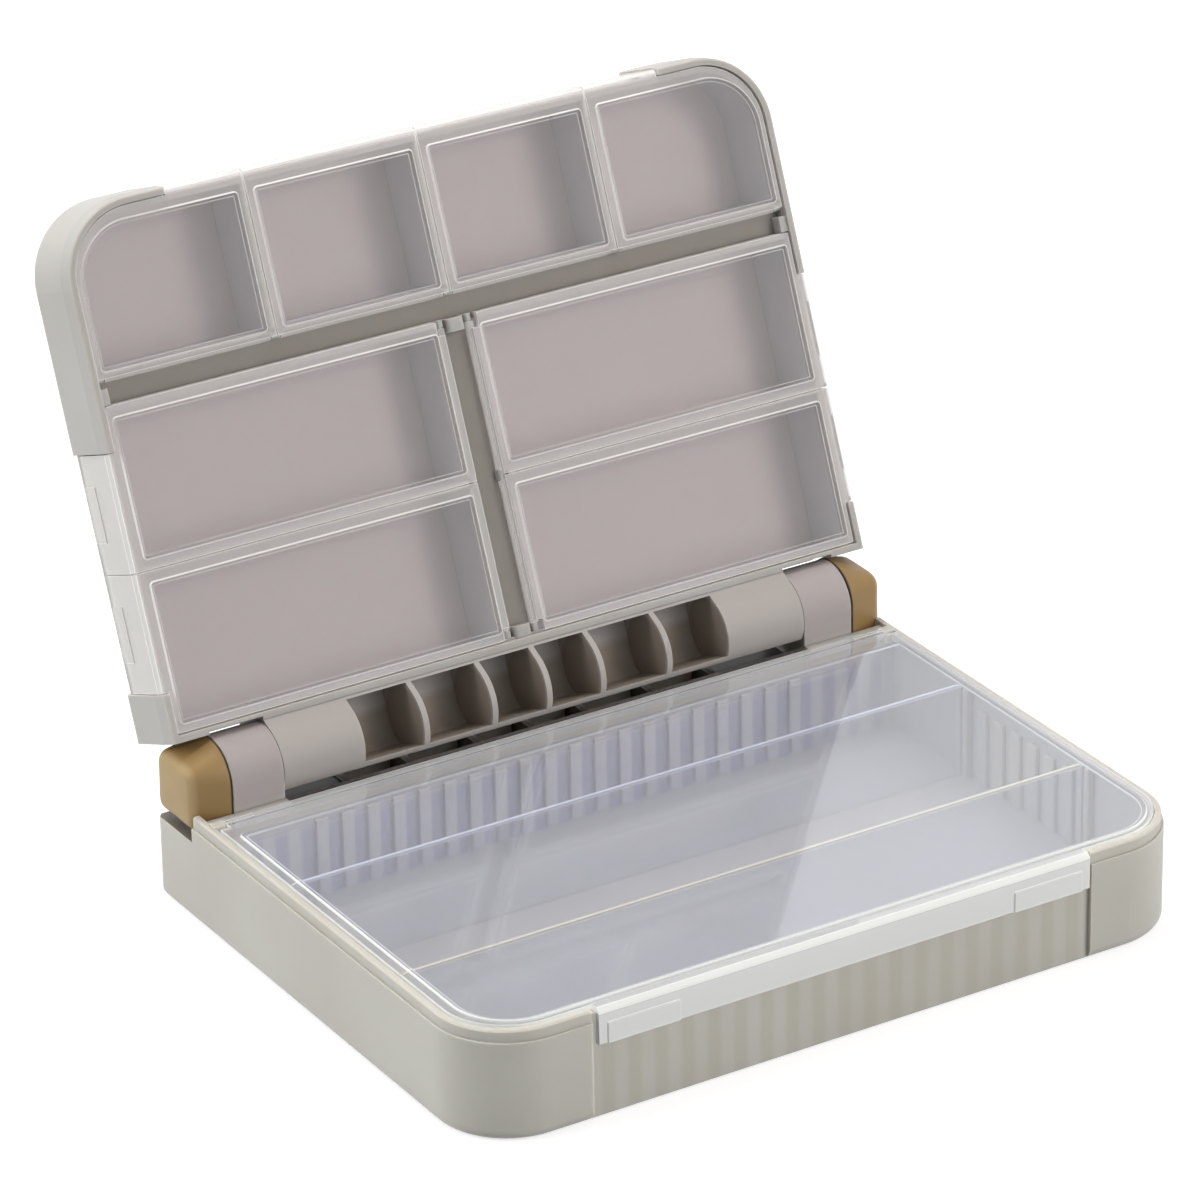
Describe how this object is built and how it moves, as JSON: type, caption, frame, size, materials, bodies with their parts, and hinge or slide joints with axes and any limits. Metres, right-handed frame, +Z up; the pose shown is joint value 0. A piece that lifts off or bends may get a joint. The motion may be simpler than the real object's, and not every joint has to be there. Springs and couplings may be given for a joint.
{
  "type": "terminal tackle box",
  "caption": "Hinged two-tray tackle box with clear hinged lids over the compartments of both trays, open cells along the hinge barrel and capped hinge ends.",
  "frame": {"origin": "middle of the lower tray's underside, on the surface that the box stands on", "axes": "+X along the main hinge, to the right as seen from the front; +Y to the back, where the hinge is; +Z up; the box stands open at 112 degrees as in the picture"},
  "size_m": [0.2014, 0.212, 0.1667],
  "materials": {
    "tray_polypropylene": "satin, slightly see-through",
    "clear_lid": "clear and glossy",
    "tan_cap": "satin",
    "steel_pin": "plain"
  },
  "bodies": {
    "base": {"lower_tray": "tray_polypropylene", "long_divider_rear": "clear_lid", "long_divider_front": "clear_lid", "hinge_pin_left": "steel_pin", "hinge_pin_right": "steel_pin", "end_cap_left": "tan_cap", "end_cap_right": "tan_cap", "lower_lid_pin_left": "steel_pin", "lower_lid_pin_right": "steel_pin"},
    "lower_lid": {"lower_lid": "clear_lid"},
    "upper": {"upper_tray": "tray_polypropylene", "hinge_barrel": "tray_polypropylene"},
    "top_lid_1": {"top_lid_1": "clear_lid"},
    "top_lid_2": {"top_lid_2": "clear_lid"},
    "top_lid_3": {"top_lid_3": "clear_lid"},
    "top_lid_4": {"top_lid_4": "clear_lid"},
    "wide_lid_left_near": {"wide_lid_left_near": "clear_lid"},
    "wide_lid_left_far": {"wide_lid_left_far": "clear_lid"},
    "wide_lid_right_near": {"wide_lid_right_near": "clear_lid"},
    "wide_lid_right_far": {"wide_lid_right_far": "clear_lid"}
  },
  "joints": [
    {"name": "main_hinge", "type": "hinge", "parent": "base", "child": "upper", "pos_m": [0, 0.0663, 0.0342], "axis": [-1, 0, 0], "range_deg": [-112, 68]},
    {"name": "lower_lid_hinge", "type": "hinge", "parent": "base", "child": "lower_lid", "pos_m": [0, 0.0514, 0.0278], "axis": [-1, 0, 0], "range_deg": [0, 100]},
    {"name": "top_lid_1_hinge", "type": "hinge", "parent": "upper", "child": "top_lid_1", "pos_m": [-0.073, 0.10239, 0.12726], "axis": [1, 0, 0], "range_deg": [0, 90]},
    {"name": "top_lid_2_hinge", "type": "hinge", "parent": "upper", "child": "top_lid_2", "pos_m": [-0.02435, 0.10239, 0.12726], "axis": [1, 0, 0], "range_deg": [0, 90]},
    {"name": "top_lid_3_hinge", "type": "hinge", "parent": "upper", "child": "top_lid_3", "pos_m": [0.02435, 0.10239, 0.12726], "axis": [1, 0, 0], "range_deg": [0, 90]},
    {"name": "top_lid_4_hinge", "type": "hinge", "parent": "upper", "child": "top_lid_4", "pos_m": [0.073, 0.10239, 0.12726], "axis": [1, 0, 0], "range_deg": [0, 90]},
    {"name": "wide_lid_left_near_hinge", "type": "hinge", "parent": "upper", "child": "wide_lid_left_near", "pos_m": [-0.004, 0.07714, 0.06477], "axis": [0, 0.3746, 0.9272], "range_deg": [0, 90]},
    {"name": "wide_lid_left_far_hinge", "type": "hinge", "parent": "upper", "child": "wide_lid_left_far", "pos_m": [-0.004, 0.09231, 0.10232], "axis": [0, 0.3746, 0.9272], "range_deg": [0, 90]},
    {"name": "wide_lid_right_near_hinge", "type": "hinge", "parent": "upper", "child": "wide_lid_right_near", "pos_m": [0.004, 0.07714, 0.06477], "axis": [0, -0.3746, -0.9272], "range_deg": [0, 90]},
    {"name": "wide_lid_right_far_hinge", "type": "hinge", "parent": "upper", "child": "wide_lid_right_far", "pos_m": [0.004, 0.09231, 0.10232], "axis": [0, -0.3746, -0.9272], "range_deg": [0, 90]}
  ]
}
